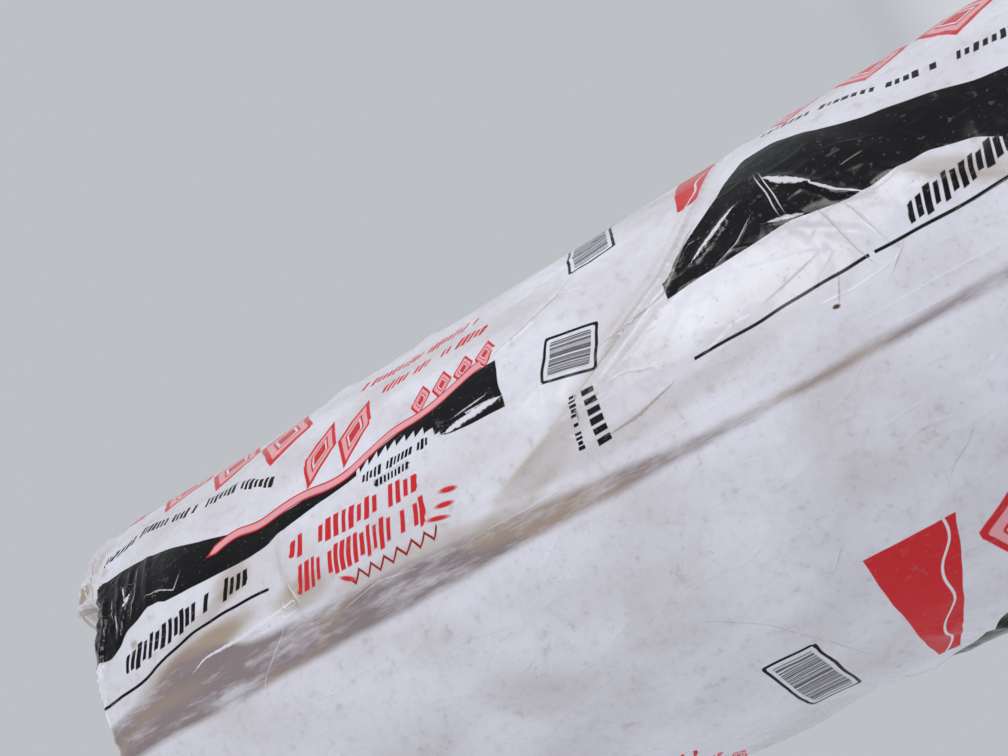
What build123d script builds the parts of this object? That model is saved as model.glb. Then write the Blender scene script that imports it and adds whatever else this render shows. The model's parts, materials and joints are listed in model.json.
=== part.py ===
"""A roll of faced glass-wool insulation in its film wrapper, standing on its plain end.

Z runs up along the roll's axis. The origin is on the floor, on that axis. Sizes are in millimetres.
"""

import os

from build123d import *

# Blanket: the glass wool with its facing, wound on itself
blanket_width = 1219.0
blanket_radius = 268.0
core_radius = 32.0
blanket_shoulder = 20.0

# Winding: the gap that shows at both ends between one turn of the blanket and the next
turn_pitch = 14.6
turn_gap = 2.4
turn_depth = 6.0

# Film wrapper, turned in over both ends and open in the middle
film_thickness = 1.0
film_clearance = 0.3
mouth_radius = 158.0

# Cuff: over one half of the top end the film stands out past the blanket before it turns in
cuff_reach = 45.0
cuff_shoulder = 14.0
cuff_turn = -52.0

# Pleats: the folds that take up the film's spare width where it turns in
pleat_count = 26
pleat_height = 3.0
pleat_width = 13.0
pleat_tip = 4.0

# Places that follow from the sizes above
film_inner_radius = blanket_radius + film_clearance
blanket_bottom = film_thickness + film_clearance
blanket_top = blanket_bottom + blanket_width
bottom_end = Plane(origin=(0, 0, blanket_bottom), z_dir=(0, 0, -1))
top_end = Plane(origin=(0, 0, blanket_top), z_dir=(0, 0, 1))

# A 45 degree bevel that moves out by some distance has legs longer by this share of it
bevel_growth = 2 - 2**0.5


def turned_drum(margin):
    """A solid drum, margin larger all round than the blanket, turned from half of its outline."""
    with BuildPart() as drum:
        with BuildSketch(Plane.XZ) as outline:
            with Locations((0, blanket_bottom - margin)):
                Rectangle(blanket_radius + margin, blanket_width + 2 * margin, align=(Align.MIN, Align.MIN))
            chamfer(outline.vertices().group_by(Axis.X)[-1], blanket_shoulder + bevel_growth * margin)
        revolve(axis=Axis.Z)
    return drum.part


def winding_gap():
    """The spiral gap between turns, out to just under the film: half circles on two centres,
    each half a pitch wider than the last."""
    half_step = turn_pitch / 2
    first_radius = core_radius + turn_pitch
    half_turns = int((mouth_radius + turn_pitch - first_radius) / half_step)
    with BuildSketch() as gap:
        with BuildLine():
            for half_turn in range(half_turns):
                radius = first_radius + half_turn * half_step
                if half_turn % 2 == 0:
                    CenterArc((-half_step / 2, 0), radius, 0, 180)
                else:
                    CenterArc((half_step / 2, 0), radius, 180, 180)
        trace(line_width=turn_gap)
    return gap.sketch


def cuff_block(margin):
    """A bevelled half disc past the blanket's top end, margin larger all round than the cuff's room."""
    along_chord = Vector(1, 0, 0).rotate(Axis.Z, cuff_turn)
    root = Plane(top_end.offset(-blanket_shoulder).origin, x_dir=along_chord, z_dir=top_end.z_dir)
    with BuildPart() as block:
        with BuildSketch(root):
            Circle(film_inner_radius + margin)
            with Locations((0, -margin)):
                Rectangle(3 * blanket_radius, 3 * blanket_radius, align=(Align.CENTER, Align.MAX), mode=Mode.SUBTRACT)
        extrude(amount=blanket_shoulder + cuff_reach + margin)
        soft_edges = block.edges().filter_by(Axis.Z) + block.faces().sort_by(Axis.Z)[-1].edges()
        chamfer(soft_edges, cuff_shoulder + bevel_growth * margin)
    return block.part


def film_room(margin):
    """Everything inside the film's outer surface, moved out from its inner surface by margin."""
    with BuildPart() as room:
        add(turned_drum(film_clearance + margin))
        add(cuff_block(margin))
    return room.part


def pleat_ring(face, shoulder, first_angle, arc):
    """Pleats on one stretch of a turned-in end: wedges that narrow from the mouth to the shoulder."""
    reach = film_inner_radius - shoulder
    gap = arc / round(pleat_count * arc / 360)
    with BuildPart() as ring:
        with BuildSketch(face):
            with PolarLocations(0, round(arc / gap), start_angle=first_angle + gap / 2, angular_range=arc, endpoint=False):
                Polygon(
                    (mouth_radius, -pleat_width / 2),
                    (reach, -pleat_tip / 2),
                    (reach, pleat_tip / 2),
                    (mouth_radius, pleat_width / 2),
                    align=None,
                )
        extrude(amount=film_thickness + pleat_height)
    return ring.part


with BuildPart() as wool_roll:
    add(turned_drum(0))
    for end in (bottom_end, top_end):
        with BuildSketch(end):
            add(winding_gap())
        extrude(amount=-turn_depth, mode=Mode.SUBTRACT)
    with Locations(Location(top_end)):
        Hole(core_radius)
wool_roll.part.label = "wool_roll"

with BuildPart() as film_wrap:
    add(film_room(film_thickness))
    add(film_room(0), mode=Mode.SUBTRACT)
    add(pleat_ring(top_end.offset(film_clearance), blanket_shoulder, cuff_turn + 180, 180))
    add(pleat_ring(top_end.offset(cuff_reach), cuff_shoulder, cuff_turn, 180))
    with Locations(Location(top_end)):
        Hole(mouth_radius)
film_wrap.part.label = "film_wrap"

os.makedirs("parts", exist_ok=True)
for piece in (wool_roll, film_wrap):
    export_step(piece.part, f"parts/{piece.part.label}.step")
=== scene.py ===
"""The looks of a wrapped roll of faced glass-wool blanket that stands on its plain end.

Lengths are in metres and Z runs up the roll. Print and folds are placed by film coordinates, in
millimetres: "along" grows from the roll's middle towards its plain end, and "around" is the arc on
the film, from the side that faces the viewer towards the upper edge of the picture.
"""
from __future__ import annotations

import json
import logging
import math
from dataclasses import dataclass
from enum import Enum
from typing import Sequence, Union

import bpy
import numpy as np
from mathutils import Matrix, Vector

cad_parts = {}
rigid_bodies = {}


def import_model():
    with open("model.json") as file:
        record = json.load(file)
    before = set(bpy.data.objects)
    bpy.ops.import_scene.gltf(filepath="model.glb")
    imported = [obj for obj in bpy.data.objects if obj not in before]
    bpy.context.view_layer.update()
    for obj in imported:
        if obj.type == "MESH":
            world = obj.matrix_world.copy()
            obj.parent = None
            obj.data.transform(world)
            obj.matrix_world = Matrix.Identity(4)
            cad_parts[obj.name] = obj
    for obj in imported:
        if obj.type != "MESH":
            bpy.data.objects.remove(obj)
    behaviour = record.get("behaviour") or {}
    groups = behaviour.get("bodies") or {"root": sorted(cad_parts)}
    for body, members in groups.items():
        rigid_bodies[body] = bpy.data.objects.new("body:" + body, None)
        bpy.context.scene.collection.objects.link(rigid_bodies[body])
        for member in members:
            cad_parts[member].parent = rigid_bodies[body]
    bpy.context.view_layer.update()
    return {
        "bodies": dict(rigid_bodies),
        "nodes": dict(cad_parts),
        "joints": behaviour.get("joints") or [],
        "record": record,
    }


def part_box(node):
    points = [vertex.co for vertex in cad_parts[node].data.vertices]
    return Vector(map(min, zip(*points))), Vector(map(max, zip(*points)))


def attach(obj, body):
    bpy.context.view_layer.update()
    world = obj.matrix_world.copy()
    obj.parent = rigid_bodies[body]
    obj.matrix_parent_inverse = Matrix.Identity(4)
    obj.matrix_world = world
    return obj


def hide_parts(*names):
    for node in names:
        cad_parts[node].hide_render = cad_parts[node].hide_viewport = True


LOG = logging.getLogger("insulation_roll")
MM = 0.001
ALONG_ZERO = 0.6333  # height on the roll where "along" is zero
FACING_TURN = math.radians(34.0)  # from the viewer's side round to +X
FAR = 30.0  # stands for a place that a piece of print doesn't reach
Colour = tuple[float, float, float]
Point = tuple[float, float]
Array = np.ndarray
Arrays = tuple[Array, Array]


class Ink(Enum):
    """The colours that the film is printed in."""

    BLACK = (0.0040, 0.0038, 0.0048)
    RED = (0.60, 0.024, 0.030)
    DARK_RED = (0.30, 0.018, 0.024)
    PINK = (0.78, 0.36, 0.40)
    WHITE = (0.74, 0.72, 0.78)
    RUST = (0.09, 0.045, 0.03)


@dataclass(frozen=True)
class RollSizes:
    """The roll's main sizes, read from the CAD frame.

    Args:
        radius: outside radius of the film
        blanket_bottom: height of the blanket's lower end
        blanket_top: height of the blanket's upper end
        cuff_top: height of the loose cuff; not used
        core_radius: radius of the hollow centre
        mouth_radius: radius of the film's mouth at both ends
        turn_pitch: thickness of one turn of the blanket
    """

    radius: float
    blanket_bottom: float
    blanket_top: float
    cuff_top: float
    core_radius: float
    mouth_radius: float = 0.158
    turn_pitch: float = 0.0146

    @classmethod
    def from_frame(cls, record: dict) -> RollSizes:
        """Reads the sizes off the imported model.

        Args:
            record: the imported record

        Returns:
            The sizes of the roll.
        """
        film_low, film_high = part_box("film_wrap")
        wool_low, wool_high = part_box("wool_roll")
        bore = next(m for m in record["mounts"] if m["name"] == "core_bore")
        return cls(
            radius=(film_high.x - film_low.x) / 2,
            blanket_bottom=wool_low.z,
            blanket_top=wool_high.z,
            cuff_top=film_high.z,
            core_radius=bore["dims"]["r_mm"] * MM,
        )

    @property
    def girth(self) -> float:
        """The film's length once round the roll."""
        return 2 * math.pi * self.radius


class Signal:
    """A shader socket that Python's operators work on."""

    def __init__(self, graph: Graph, socket: bpy.types.NodeSocket) -> None:
        """Wraps one output socket.

        Args:
            graph: the graph that new nodes go into
            socket: the output socket that this signal stands for
        """
        self.graph = graph
        self.socket = socket

    def __add__(self, other: Value) -> Signal:
        """Adds."""
        return self.graph.math("ADD", self, other)

    __radd__ = __add__

    def __sub__(self, other: Value) -> Signal:
        """Takes other away."""
        return self.graph.math("SUBTRACT", self, other)

    def __rsub__(self, other: Value) -> Signal:
        """Takes this signal away from other."""
        return self.graph.math("SUBTRACT", other, self)

    def __mul__(self, other: Value) -> Signal:
        """Multiplies."""
        return self.graph.math("MULTIPLY", self, other)

    __rmul__ = __mul__

    def __truediv__(self, other: Value) -> Signal:
        """Divides by other."""
        return self.graph.math("DIVIDE", self, other)

    def __abs__(self) -> Signal:
        """Drops the sign."""
        return self.graph.math("ABSOLUTE", self)

    def __mod__(self, period: float) -> Signal:
        """Repeats from 0 to period."""
        return self.graph.math("WRAP", self, period, 0.0)

    def sine(self) -> Signal:
        """The sine, of an angle in radians."""
        return self.graph.math("SINE", self)

    def floor(self) -> Signal:
        """Rounds down."""
        return self.graph.math("FLOOR", self)

    def larger(self, other: Value) -> Signal:
        """The larger of the two."""
        return self.graph.math("MAXIMUM", self, other)

    def smaller(self, other: Value) -> Signal:
        """The smaller of the two."""
        return self.graph.math("MINIMUM", self, other)

    def clamped(self) -> Signal:
        """Held between 0 and 1."""
        return self.larger(0.0).smaller(1.0)

    def ramp(self, start: float, stop: float) -> Signal:
        """Runs smoothly from 0 to 1.

        Args:
            start: where it is 0
            stop: where it is 1

        Returns:
            The ramp.
        """
        settings = {"interpolation_type": "SMOOTHSTEP"}
        inputs = {"Value": self, "From Min": start, "From Max": stop}
        return self.graph.signal("ShaderNodeMapRange", settings, inputs)

    def above(self, edge: Value, soft: float = 0.5) -> Signal:
        """A mask that is 1 above an edge.

        Args:
            edge: where the mask is one half
            soft: how far either side of the edge the mask runs from 0 to 1

        Returns:
            The mask.
        """
        if isinstance(edge, Signal):
            return (self - edge).ramp(-soft, soft)
        return self.ramp(edge - soft, edge + soft)

    def below(self, edge: Value, soft: float = 0.5) -> Signal:
        """A mask that is 1 below an edge.

        Args:
            edge: where the mask is one half
            soft: how far either side of the edge the mask runs from 1 to 0

        Returns:
            The mask.
        """
        if isinstance(edge, Signal):
            return (self - edge).ramp(soft, -soft)
        return self.ramp(edge + soft, edge - soft)

    def between(self, low: float, high: float, soft: float = 0.5) -> Signal:
        """A mask that is 1 from low to high."""
        return abs(self - (low + high) / 2).below((high - low) / 2, soft)


Value = Union[float, int, Signal]
Owner = Union[bpy.types.Material, bpy.types.World]


class Graph:
    """The node tree of one material or world."""

    def __init__(self, owner: Owner) -> None:
        """Empties the owner's tree.

        Args:
            owner: the material or world
        """
        self.owner = owner
        owner.use_nodes = True
        self.tree = owner.node_tree
        self.tree.nodes.clear()

    def add(self, kind: str, settings: dict, inputs: dict) -> bpy.types.Node:
        """Adds one node.

        Args:
            kind: the node's type
            settings: its properties
            inputs: values or signals by socket name or number

        Returns:
            The node.
        """
        node = self.tree.nodes.new(kind)
        for key, value in settings.items():
            setattr(node, key, value)
        for key, value in inputs.items():
            if isinstance(value, Signal):
                self.tree.links.new(value.socket, node.inputs[key])
            elif isinstance(value, tuple) and node.inputs[key].type == "RGBA":
                node.inputs[key].default_value = (*value, 1.0)
            else:
                node.inputs[key].default_value = value
        return node

    def signal(self, kind: str, settings: dict, inputs: dict, output: Union[str, int] = 0) -> Signal:
        """Adds a node and gives one of its outputs."""
        return Signal(self, self.add(kind, settings, inputs).outputs[output])

    def math(self, operation: str, *values: Value) -> Signal:
        """Adds a Math node."""
        return self.signal("ShaderNodeMath", {"operation": operation}, dict(enumerate(values)))

    def noise(self, place: Signal, scale: float, detail: float = 2.0, roughness: float = 0.5,
              on_line: bool = False) -> Signal:
        """A noise from 0 to 1.

        Args:
            place: where it is read, as a vector, or as a number for a noise on a line
            scale: waves for each unit of place
            detail: how many finer noises are added
            roughness: how strong each finer noise is
            on_line: whether place is a number

        Returns:
            The noise.
        """
        inputs = {"W" if on_line else "Vector": place, "Scale": scale, "Detail": detail,
                  "Roughness": roughness}
        return self.signal("ShaderNodeTexNoise", {"noise_dimensions": "1D" if on_line else "3D"}, inputs)

    def place(self) -> tuple[Signal, Signal, Signal, Signal]:
        """Reads where the surface is, in object coordinates.

        Returns:
            The place as a vector, and its three numbers.
        """
        whole = self.signal("ShaderNodeTexCoord", {}, {}, output="Object")
        split = self.add("ShaderNodeSeparateXYZ", {}, {0: whole})
        return whole, *(Signal(self, out) for out in split.outputs)

    def stretched(self, place: Signal, factors: Colour) -> Signal:
        """Multiplies a place by a factor on each axis."""
        return self.signal("ShaderNodeVectorMath", {"operation": "MULTIPLY"}, {0: place, 1: factors})

    def attribute(self, name: str) -> Signal:
        """Reads one of the mesh's named values."""
        return self.signal("ShaderNodeAttribute", {"attribute_name": name}, {}, output="Fac")

    def chances(self, cell: Signal) -> tuple[Signal, Signal, Signal]:
        """Draws random numbers for whole numbers.

        Args:
            cell: the whole numbers

        Returns:
            Three random numbers from 0 to 1 for each.
        """
        settings = {"noise_dimensions": "1D"}
        drawn = self.signal("ShaderNodeTexWhiteNoise", settings, {"W": cell}, output="Color")
        split = self.add("ShaderNodeSeparateColor", {}, {0: drawn})
        return tuple(Signal(self, out) for out in split.outputs)

    def streaks(self, spot: Signal, streaks: Sequence[Streak]) -> Signal:
        """A mask over some thin streaks that taper at both ends.

        Args:
            spot: film coordinates, as a vector
            streaks: the streaks

        Returns:
            The mask.
        """
        nearest = None
        for streak in streaks:
            (left, start), (right, stop) = streak.start, streak.stop
            length = math.hypot(right - left, stop - start)
            local = self.signal("ShaderNodeMapping", {"vector_type": "TEXTURE"}, {
                "Vector": spot, "Location": ((left + right) / 2, (start + stop) / 2, 0.0),
                "Rotation": (0.0, 0.0, math.atan2(stop - start, right - left)),
                "Scale": (length / 2, streak.half_width, 1.0),
            })
            size = self.signal("ShaderNodeVectorMath", {"operation": "LENGTH"}, {0: local}, output="Value")
            nearest = size if nearest is None else nearest.smaller(size)
        return nearest.ramp(1.15, 0.50)

    def blend(self, below: Value, above: Value, mask: Value) -> Signal:
        """Lays one colour over another through a mask."""
        inputs = {0: mask, 6: below, 7: above}
        return self.signal("ShaderNodeMix", {"data_type": "RGBA"}, inputs, output=2)

    def cover(self, mask: Signal, below: bpy.types.Node, above: bpy.types.Node) -> bpy.types.Node:
        """Lays one shader over another through a mask."""
        shaders = {k: Signal(self, shader.outputs[0]) for k, shader in ((1, below), (2, above))}
        return self.add("ShaderNodeMixShader", {}, {0: mask, **shaders})

    def finish(self, shader: bpy.types.Node, kind: str = "Material") -> Owner:
        """Sends a shader to the surface of the material or world and gives that."""
        self.add("ShaderNodeOutput" + kind, {}, {"Surface": Signal(self, shader.outputs[0])})
        return self.owner


def smooth_line(points: Sequence[Point], along: Array) -> Array:
    """A line through some points that doesn't swing past them.

    Args:
        points: (along, around) in growing order
        along: where the line is read

    Returns:
        The line's place around.
    """
    x, y = np.array(points, float).T
    width, slope = np.diff(x), np.diff(y) / np.diff(x)
    lean = np.concatenate([slope[:1], np.zeros(len(x) - 2), slope[-1:]])
    left, right = slope[:-1], slope[1:]
    same = left * right > 0
    lean[1:-1][same] = 2 * left[same] * right[same] / (left[same] + right[same])
    along = np.clip(along, x[0], x[-1])
    k = np.clip(np.searchsorted(x, along) - 1, 0, len(x) - 2)
    s = (along - x[k]) / width[k]
    run = y[k] + (y[k + 1] - y[k]) * s * s * (3 - 2 * s)
    return run + width[k] * s * (1 - s) * (lean[k] * (1 - s) - lean[k + 1] * s)


def turned_place(centre: Point, turn: float, along: Array, around: Array) -> Arrays:
    """Film coordinates in a box that is turned.

    Args:
        centre: the box's middle
        turn: its turn, in degrees
        along: film coordinates
        around: film coordinates

    Returns:
        The coordinates from the box's middle, along its width and its height.
    """
    c, s = math.cos(math.radians(turn)), math.sin(math.radians(turn))
    across, up = along - centre[0], around - centre[1]
    return across * c + up * s, up * c - across * s


@dataclass(frozen=True)
class Streak:
    """A thin line that tapers at both ends, by its two ends as (along, around)."""

    start: Point
    stop: Point
    half_width: float


@dataclass(frozen=True)
class WordRow:
    """A row of plain slanted blocks, at the scale of a line of print.

    Args:
        centre: the row's middle line, as (along, around) points
        span: the stretch that the row covers, as (from, to) along
        height: height of the tallest blocks
        pitch: width of one block and its gap
        slant: how far a block leans over its height
        ink: the colour of the blocks
        first: number of the first block; another number gives other blocks
        spare: how far past its ends the row still holds the film
        step: the mesh's largest step along the roll
    """

    centre: tuple[Point, ...]
    span: Point
    height: float
    pitch: float
    slant: float
    ink: Ink
    first: int
    spare: float = 12.0
    step: float = 4.5

    def locate(self, along: Array, around: Array) -> Arrays:
        """Finds each point's place in the row.

        Args:
            along: coordinates along the row
            around: coordinates across the row

        Returns:
            How far each point is above the row, in heights, and its place in blocks.
        """
        up = around - smooth_line(self.centre, along)
        side = np.where(up > 0, 1.0, -1.0)
        blocks = (self.span[1] - self.span[0]) // self.pitch
        step = (along - up * self.slant - self.span[0]) / self.pitch
        beyond = np.maximum(-step, step - blocks).clip(0) * self.pitch
        near = (beyond < self.spare) & (np.abs(up) < self.height / 2 + self.step)
        off = up / self.height + side * 2 * beyond / self.spare
        return np.where(near, off, side * FAR), step.clip(0, blocks) + self.first


@dataclass(frozen=True)
class BarField:
    """A framed field of thin bars.

    Args:
        centre: its middle, as (along, around)
        half: half its width and height
        turn: its turn, in degrees
    """

    centre: Point
    half: Point
    turn: float

    def locate(self, along: Array, around: Array) -> Arrays:
        """How far each point is outside the frame, and its place across the bars."""
        u, v = turned_place(self.centre, self.turn, along, around)
        return np.maximum(np.abs(u) - self.half[0], np.abs(v) - self.half[1]), v


@dataclass(frozen=True)
class DiamondBorder:
    """A border of nested diamonds, in outline.

    Args:
        centre: the border's middle line, as two (along, around) points
        span: the stretch that the border covers, as (from, to) along
        pitch: width of one diamond
        half: half the height of a diamond
        lean: how far a diamond leans over its height
    """

    centre: tuple[Point, Point]
    span: Point
    pitch: float
    half: float
    lean: float

    def locate(self, along: Array, around: Array) -> Arrays:
        """Finds each point's place in the border.

        Args:
            along: film coordinates
            around: film coordinates

        Returns:
            How far each point is from the middle line, in half heights, and its place in diamonds.
        """
        up = around - smooth_line(self.centre, along)
        slid = along - up * self.lean - self.span[0]
        inside = (slid > 0) & (slid < self.span[1] - self.span[0])
        return np.where(inside, np.abs(up) / self.half, FAR), slid / self.pitch


@dataclass(frozen=True)
class FilmPrint:
    """What is printed on the film, in millimetres of film coordinates.

    The print repeats along the roll and, at each panel, round it. Between two panels the film is
    clear. The ink's edge, the band, the rule and the single rows are given all along the roll, and
    the rest on the first repeat. Further off than "known", the distance from a line isn't kept.
    """

    known: float = 60.0
    repeat: float = 865.0
    repeat_end: float = 100.0
    panel_pitch: float = 564.0
    panel_end: float = 328.0
    ink_edge: tuple[Point, ...] = (
        (-700, -212), (-590, -204), (-530, -190), (-480, -172), (-440, -184), (-405, -199),
        (-340, -202),
        (-260, -206), (-150, -214), (0, -226), (150, -236), (400, -232), (700, -212),
    )
    print_span: Point = (-599.0, 612.0)
    band_gap: Point = (-77.0, 100.0)
    band_top: tuple[Point, ...] = (
        (-700, -33), (-548, -33), (-525, -37), (-506, -43), (-474, -55), (-440, -66), (-398, -77),
        (-350, -86), (-310, -89), (-260, -86),
        (-180, -72), (-76, -56), (12, -60), (98, -86), (120, -68), (170, -23), (200, 12), (213, 23),
        (235, 22), (260, 9), (280, -8), (320, -31), (370, -48), (420, -71), (505, -83), (700, -88),
    )
    band_bottom: tuple[Point, ...] = (
        (-700, -142), (-591, -139), (-574, -141), (-560, -134), (-545, -120), (-532, -116),
        (-515, -109), (-503, -109), (-493, -113), (-465, -114), (-370, -115), (-340, -108),
        (-260, -99), (-205, -89), (-165, -96), (-148, -108), (-133, -113), (-77, -117), (98, -104),
        (170, -100), (220, -100), (285, -114), (340, -111), (380, -121), (405, -136), (440, -138),
        (500, -116), (700, -104),
    )
    teeth_span: Point = (-246.0, -148.0)
    teeth_pitch: float = 11.0
    teeth_height: float = 9.0
    rule_line: tuple[Point, ...] = (
        (-700, -199), (-590, -186), (-535, -178), (-495, -167), (-450, -158), (-410, -157),
        (-372, -159), (-300, -165), (100, -172), (260, -170), (390, -171), (700, -168),
    )
    rule_half: float = 1.6
    rule_gaps: tuple[Point, ...] = ((-372.0, 100.0), (267.0, 272.0), (493.0, 700.0))
    ribbon_span: Point = (-438.0, -92.0)
    ribbon_half: float = 4.6
    tag_span: Point = (-728.0, -705.0)
    tag_low: float = -3.0
    tag_high: float = 170.0
    zigzag_span: Point = (-282.0, -180.0)
    dashes: tuple[Streak, ...] = (
        Streak((-169, -160), (-146, -165), 3.5), Streak((-177, -172), (-154, -176), 3.3),
        Streak((-190, -180), (-162, -187), 3.1), Streak((-293, -186), (-275, -197), 2.9),
    )
    # two thin white lines on a fold's crest in the band: painted highlights, not print
    creases: tuple[Streak, ...] = (
        Streak((214, -20), (219, -90), 0.9), Streak((219, -20), (224, -90), 0.8),
    )
    rust: tuple[Streak, ...] = (Streak((221, -195), (229, -196), 2.4),)
    rows: tuple[WordRow, ...] = (
        WordRow(((-700, -176), (-552, -155), (-495, -146), (-450, -138), (-390, -133), (-300, -130)),
                (-556, -388), 23.0, 8.2, 0.30, Ink.BLACK, 194),
        WordRow(((-345, -133), (-170, -139)), (-340, -178), 22.0, 9.2, 0.30, Ink.RED, 291),
        WordRow(((-345, -167), (-170, -168)), (-338, -186), 29.0, 7.6, 0.25, Ink.RED, 388),
        WordRow(((-260, -105), (-150, -105)), (-250, -160), 11.0, 4.6, 0.25, Ink.BLACK, 485),
        WordRow(((-260, -118), (-150, -118)), (-228, -186), 10.0, 4.6, 0.25, Ink.BLACK, 582),
        WordRow(((-260, 46), (-70, 40)), (-250, -92), 16.0, 6.4, 0.45, Ink.RED, 679),
        WordRow(((-260, 14), (-70, 6)), (-214, -84), 17.0, 6.8, 0.45, Ink.RED, 776),
    )
    single_rows: tuple[WordRow, ...] = (
        WordRow(((-700, -60), (-604, -6), (-579, 10), (-548, 24), (-502, 9), (-475, 2), (-442, -5),
                 (-410, -9), (-350, -38), (-300, -60)),
                (-606, -344), 16.0, 6.6, 0.30, Ink.BLACK, 97),
        WordRow(((200, 110), (232, 84), (273, 52), (311, 28), (355, -3), (398, -17), (446, -30),
                 (540, -44)), (232, 520), 14.5, 7.4, 0.30, Ink.BLACK, 97),
    )
    turned_rows: tuple[WordRow, ...] = (
        WordRow(((-200, -2), (-120, 3)), (-200, -140), 18.0, 9.6, 0.0, Ink.BLACK, 853),
        WordRow(((-200, -24), (-120, -11)), (-194, -142), 6.5, 4.2, 0.0, Ink.BLACK, 970),
    )
    frame_line: float = 3.2
    fields: tuple[BarField, ...] = (
        BarField((-2, -99), (29, 26), -17.0),
        BarField((38, 62), (27, 50), 4.0),
    )
    borders: tuple[DiamondBorder, ...] = (
        DiamondBorder(((-640, 138), (-300, 24)), (-640, -304), 84.0, 56.0, 0.20),
        DiamondBorder(((-312, -38), (-224, -34)), (-312, -224), 44.0, 44.0, 0.35),
        DiamondBorder(((-176, -52), (-72, -38)), (-176, -72), 26.0, 19.0, 0.20),
    )

    def layout(self, along: Array, around: Array) -> dict[str, Array]:
        """Where each point of the film lies in the print.

        Args:
            along: film coordinates
            around: film coordinates

        Returns:
            The values by attribute name, with distances in millimetres.
        """
        place = np.mod(along - self.repeat_end, self.repeat) + self.repeat_end - self.repeat
        panel = np.mod(around - self.panel_end, self.panel_pitch) + self.panel_end - self.panel_pitch
        edge = np.minimum(panel - smooth_line(self.ink_edge, along), self.panel_end - 7 - panel)
        found = {
            "ink_edge": edge,
            "band_under": smooth_line(self.band_top, along) - panel,
            "band_over": panel - smooth_line(self.band_bottom, along),
            "rule_off": panel - smooth_line(self.rule_line, along),
        }
        found = {name: off.clip(-self.known, self.known) for name, off in found.items()}
        located = [(row, row.locate(place, panel)) for row in self.rows]
        located += [(row, row.locate(along, panel)) for row in self.single_rows]
        located += [(row, row.locate(panel, place)) for row in self.turned_rows]
        # rows side by side get opposite signs, so that the distance never passes zero between them
        signed = [(off * (-1) ** k, step, row.ink is Ink.RED)
                  for k, (row, (off, step)) in enumerate(located, 1)]
        found["row_off"], found["row_step"] = nearest_of([(off, step) for off, step, _ in signed])
        found["row_red"] = nearest_of([(off, 0 * off + red) for off, _, red in signed])[1]
        found["gem_off"], found["gem_step"] = nearest_of([b.locate(place, panel) for b in self.borders])
        found["frame_off"], found["frame_across"] = nearest_of([f.locate(place, panel) for f in self.fields])
        return found

    def paint(self, g: Graph, colour: Signal, along: Signal, around: Signal) -> tuple[Signal, Signal]:
        """Lays all inks over a colour, one after another.

        Args:
            g: the material's graph
            colour: the colour of the film's white ink
            along: film coordinate
            around: film coordinate, on one panel

        Returns:
            The new colour, and where the black band is.
        """
        place = g.math("WRAP", along, self.repeat_end, self.repeat_end - self.repeat)
        under, over = g.attribute("band_under"), g.attribute("band_over")
        saw = place % self.teeth_pitch * (self.teeth_height / self.teeth_pitch)
        band = under.above(0.0) * (over - saw * place.between(*self.teeth_span)).above(0.0)
        band = band * (1 - along.between(*self.band_gap))
        colour = g.blend(colour, Ink.BLACK.value, band)
        rule = abs(g.attribute("rule_off")).below(self.rule_half)
        for gap in self.rule_gaps:
            rule = rule * (1 - along.between(*gap))
        colour = self.paint_diamonds(g, g.blend(colour, Ink.BLACK.value, rule))
        wave = (place * (2 * math.pi / 118)).sine() * 4 + place.ramp(-452.0, -392.0) * 34 - 32
        off = abs(under + wave) + (place - self.ribbon_span[0]).ramp(14.0, 0.0) * self.ribbon_half
        ribbon = place.between(*self.ribbon_span)
        colour = g.blend(colour, Ink.PINK.value, off.below(self.ribbon_half) * ribbon)
        colour = g.blend(colour, Ink.RED.value, abs(off - self.ribbon_half).below(0.9) * ribbon)
        slid = place - around * 0.37 - self.tag_span[1]
        tag = place.above(self.tag_span[0]) * slid.below(0.0) * around.between(self.tag_low, self.tag_high)
        stripe = abs(slid + 13 - (around * 0.09).sine() * 5).below(1.3)
        colour = g.blend(colour, Ink.RED.value, tag)
        colour = g.blend(colour, Ink.WHITE.value, tag * stripe)
        zigzag = abs(around + 199 - abs(place % 15 - 7.5) * 1.4).below(1.9) * place.between(*self.zigzag_span)
        colour = g.blend(colour, Ink.DARK_RED.value, zigzag)
        spot = g.signal("ShaderNodeCombineXYZ", {}, {0: along, 1: around})
        colour = g.blend(colour, Ink.RED.value, g.streaks(spot, self.dashes))
        colour = self.paint_frames(g, self.paint_rows(g, colour))
        # the white crease lines are painted highlights
        colour = g.blend(colour, Ink.WHITE.value, g.streaks(spot, self.creases) * 0.85)
        colour = g.blend(colour, Ink.RUST.value, g.streaks(spot, self.rust))
        return colour, band

    def paint_diamonds(self, g: Graph, colour: Signal) -> Signal:
        """Lays the borders of diamonds over a colour.

        Args:
            g: the material's graph
            colour: the colour below

        Returns:
            The new colour.
        """
        size = abs(g.attribute("gem_step") % 1.0 - 0.5) * 2 + g.attribute("gem_off")
        colour = g.blend(colour, Ink.PINK.value, size.between(0.50, 0.93, 0.025))
        lines = size.between(0.77, 0.97, 0.025) + size.between(0.43, 0.52, 0.025) + size.below(0.34, 0.025)
        return g.blend(colour, Ink.RED.value, lines)

    def paint_rows(self, g: Graph, colour: Signal) -> Signal:
        """Lays the rows of blocks over a colour.

        Args:
            g: the material's graph
            colour: the colour below

        Returns:
            The new colour.
        """
        step = g.attribute("row_step")
        cell = step.floor()
        wide, tall, word = g.chances(cell)
        half_width = g.math("MULTIPLY_ADD", wide, 0.14, 0.26)
        half_height = g.math("MULTIPLY_ADD", tall.ramp(0.60, 0.62), 0.13, 0.37)
        block = abs(step - cell - 0.5).below(half_width, 0.06) * word.ramp(0.14, 0.15)
        block = block * abs(g.attribute("row_off")).below(half_height, 0.03)
        return g.blend(colour, g.blend(Ink.BLACK.value, Ink.RED.value, g.attribute("row_red")), block)

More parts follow.
